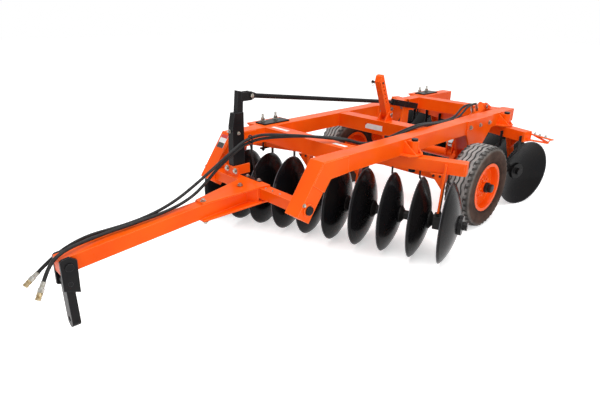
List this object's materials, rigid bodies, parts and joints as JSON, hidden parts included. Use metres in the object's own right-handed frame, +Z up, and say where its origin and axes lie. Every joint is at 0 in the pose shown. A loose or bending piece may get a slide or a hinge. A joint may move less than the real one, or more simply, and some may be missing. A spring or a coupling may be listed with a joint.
{
  "type": "disc harrow",
  "caption": "Trailed offset disc harrow with angled gangs of dished discs, a hydraulic wheel axle, a hinged tongue and a levelling rod.",
  "frame": {"origin": "on the ground, under the middle of the whole machine's footprint", "axes": "+Y runs to the rear, away from the tongue; +X to the machine's left; +Z up"},
  "size_m": [2.446, 5.3697, 1.3461],
  "materials": {
    "orange_paint": "gloss orange enamel",
    "black_paint": "semi-gloss black enamel",
    "disc_steel": "gloss black over polished steel",
    "cast_black": "black painted casting",
    "zinc": "bright zinc plate",
    "rod_chrome": "hard chrome",
    "tyre_rubber": "dusty tyre rubber",
    "hose_rubber": "smooth black hose cover"
  },
  "bodies": {
    "frame": {"near_side_beam": "orange_paint", "far_side_beam": "orange_paint", "front_cross_beam": "orange_paint", "middle_cross_beam": "orange_paint", "rear_cross_beam": "orange_paint", "axle_bearing_plates": "orange_paint", "lock_arm_lugs": "orange_paint", "cylinder_lugs": "orange_paint", "leg_pins": "black_paint", "gang_pivot_brackets": "orange_paint", "clamp_bases": "orange_paint", "hose_clip": "black_paint", "hose_a_rear": "hose_rubber", "hose_a_middle": "hose_rubber", "hose_b_rear": "hose_rubber", "hose_b_middle": "hose_rubber"},
    "hitch": {"hitch_cross_tube": "orange_paint", "tongue": "orange_paint", "hitch_plates": "orange_paint", "clevis_plates": "black_paint", "clevis_pins": "black_paint", "mast": "black_paint", "mast_bracket": "orange_paint", "hose_holder": "black_paint", "hose_a_front": "hose_rubber", "hose_b_front": "hose_rubber", "hose_couplers": "zinc"},
    "drop_link": {"drop_link": "black_paint"},
    "levelling_rod": {"levelling_rod": "black_paint", "rod_straps": "black_paint"},
    "axle": {"rockshaft": "orange_paint", "wheel_axle": "orange_paint", "levelling_lever": "orange_paint", "cylinder_rod_lugs": "orange_paint"},
    "near_wheel": {"near_tyre": "tyre_rubber", "near_rim": "orange_paint"},
    "far_wheel": {"far_tyre": "tyre_rubber", "far_rim": "orange_paint"},
    "cylinder": {"cylinder_barrel": "orange_paint", "cylinder_ports": "zinc"},
    "cylinder_rod": {"cylinder_rod": "rod_chrome"},
    "lock_arm": {"lock_arm": "orange_paint"},
    "front_gang": {"front_gang_beam": "orange_paint", "front_gang_hangers": "orange_paint", "front_gang_bearings": "cast_black", "front_gang_scrapers": "black_paint", "front_gang_pin": "black_paint", "front_gang_clamp": "black_paint"},
    "front_discs": {"front_gang_discs": "disc_steel", "front_gang_spools": "cast_black", "front_gang_shaft": "black_paint"},
    "rear_gang": {"rear_gang_beam": "orange_paint", "rear_gang_hangers": "orange_paint", "rear_gang_bearings": "cast_black", "rear_gang_scrapers": "black_paint", "rear_gang_pin": "black_paint", "rear_gang_clamp": "black_paint"},
    "rear_discs": {"rear_gang_discs": "disc_steel", "rear_gang_spools": "cast_black", "rear_gang_shaft": "black_paint"}
  },
  "joints": [
    {"name": "axle_lift", "type": "hinge", "parent": "frame", "child": "axle", "pos_m": [0.05794, 1.08257, 0.53], "axis": [1, 0, 0], "range_deg": [-30, 25]},
    {"name": "hitch_pitch", "type": "hinge", "parent": "frame", "child": "hitch", "pos_m": [0.05794, -1.16284, 0.61762], "axis": [1, 0, 0], "range_deg": [-20, 17], "deforming": ["hose_a_middle", "hose_b_middle"]},
    {"name": "levelling_rod_swing", "type": "hinge", "parent": "hitch", "child": "levelling_rod", "pos_m": [-0.21206, -0.97343, 1.255], "axis": [1, 0, 0], "range_deg": [-18, 21]},
    {"name": "drop_link_swing", "type": "hinge", "parent": "hitch", "child": "drop_link", "pos_m": [0.05794, -2.56043, 0.388], "axis": [1, 0, 0], "range_deg": [-90, 60]},
    {"name": "cylinder_swing", "type": "hinge", "parent": "frame", "child": "cylinder", "pos_m": [0.40794, 1.61557, 0.949], "axis": [1, 0, 0], "range_deg": [-2.2, 2.6], "deforming": ["hose_a_rear", "hose_b_rear"]},
    {"name": "cylinder_stroke", "type": "slide", "parent": "cylinder", "child": "cylinder_rod", "axis": [0, -0.8691, -0.4946], "range_m": [-0.05, 0.042]},
    {"name": "near_wheel_spin", "type": "hinge", "parent": "axle", "child": "near_wheel", "pos_m": [0.84794, 0.81757, 0.38], "axis": [1, 0, 0], "continuous": true},
    {"name": "far_wheel_spin", "type": "hinge", "parent": "axle", "child": "far_wheel", "pos_m": [-0.73206, 0.81757, 0.38], "axis": [1, 0, 0], "continuous": true},
    {"name": "lock_arm_swing", "type": "hinge", "parent": "frame", "child": "lock_arm", "pos_m": [0.09794, 0.36757, 0.98], "axis": [1, 0, 0], "range_deg": [-110, 0]},
    {"name": "front_gang_swing", "type": "hinge", "parent": "frame", "child": "front_gang", "pos_m": [0.69394, -0.03994, 0.799], "axis": [0, 0, 1], "range_deg": [-3, 3]},
    {"name": "front_discs_spin", "type": "hinge", "parent": "front_gang", "child": "front_discs", "pos_m": [1.05994, -0.05143, 0.33], "axis": [0.9426, 0.3338, 0], "continuous": true},
    {"name": "rear_gang_swing", "type": "hinge", "parent": "frame", "child": "rear_gang", "pos_m": [0.69394, 1.58003, 0.799], "axis": [0, 0, 1], "range_deg": [-3, 3]},
    {"name": "rear_discs_spin", "type": "hinge", "parent": "rear_gang", "child": "rear_discs", "pos_m": [-1.05943, 2.28958, 0.33], "axis": [-0.9511, 0.309, 0], "continuous": true}
  ],
  "couplings": [
    {"joint": "hitch_pitch", "follows": "axle_lift", "ratio": 0.6531},
    {"joint": "levelling_rod_swing", "follows": "axle_lift", "ratio": -0.6847},
    {"joint": "cylinder_swing", "follows": "axle_lift", "ratio": -0.0769},
    {"joint": "cylinder_stroke", "follows": "axle_lift", "m_per_rad": 0.0929}
  ]
}
